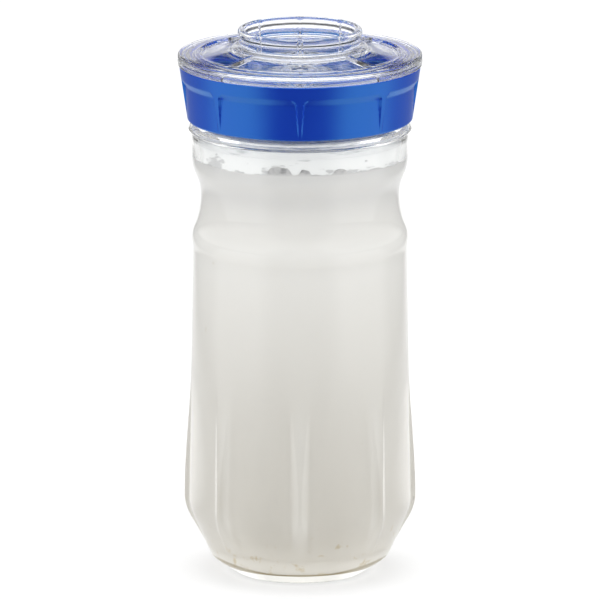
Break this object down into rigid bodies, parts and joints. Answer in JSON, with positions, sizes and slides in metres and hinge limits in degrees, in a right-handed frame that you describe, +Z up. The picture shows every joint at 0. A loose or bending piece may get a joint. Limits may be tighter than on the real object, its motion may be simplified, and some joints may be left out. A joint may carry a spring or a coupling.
{
  "type": "kefir making jar",
  "caption": "Waisted glass fermenting jar with ribbed lower body, blue screw lid holding a blue strainer and a clear reamer, and a clear twist-on cover with a grip ring.",
  "frame": {"origin": "centre of the jar's foot, on the plane that it stands on", "axes": "+Z up along the jar's axis, -Y towards the front of the picture, +X to its right"},
  "size_m": [0.1, 0.1, 0.2276],
  "materials": {
    "jar_glass": "clear pressed soda-lime glass, polished",
    "kefir": "opaque warm white cultured milk",
    "silicone": "translucent white silicone, satin",
    "blue_plastic": "moulded polypropylene, satin gloss",
    "clear_plastic": "clear moulded copolyester, polished"
  },
  "bodies": {
    "jar": {"glass_jar": "jar_glass", "kefir_fill": "kefir"},
    "gasket": {"jar_gasket": "silicone"},
    "lid": {"screw_lid": "blue_plastic", "strainer_disc": "blue_plastic", "citrus_reamer": "clear_plastic"},
    "seal": {"cover_seal": "silicone"},
    "cover": {"clear_cover": "clear_plastic"}
  },
  "joints": [
    {"name": "lid_rise", "type": "slide", "parent": "jar", "child": "gasket", "axis": [0, 0, 1], "range_m": [0, 0.0201]},
    {"name": "lid_turn", "type": "hinge", "parent": "gasket", "child": "lid", "pos_m": [0, 0, 0.2], "axis": [0, 0, 1], "range_deg": [0, 400]},
    {"name": "cover_lift", "type": "slide", "parent": "lid", "child": "seal", "axis": [0, 0, 1], "range_m": [0, 0.035]},
    {"name": "cover_turn", "type": "hinge", "parent": "seal", "child": "cover", "pos_m": [0, 0, 0.21], "axis": [0, 0, 1], "range_deg": [0, 24]}
  ],
  "couplings": [
    {"joint": "lid_rise", "follows": "lid_turn", "m_per_rad": 0.0028648}
  ]
}
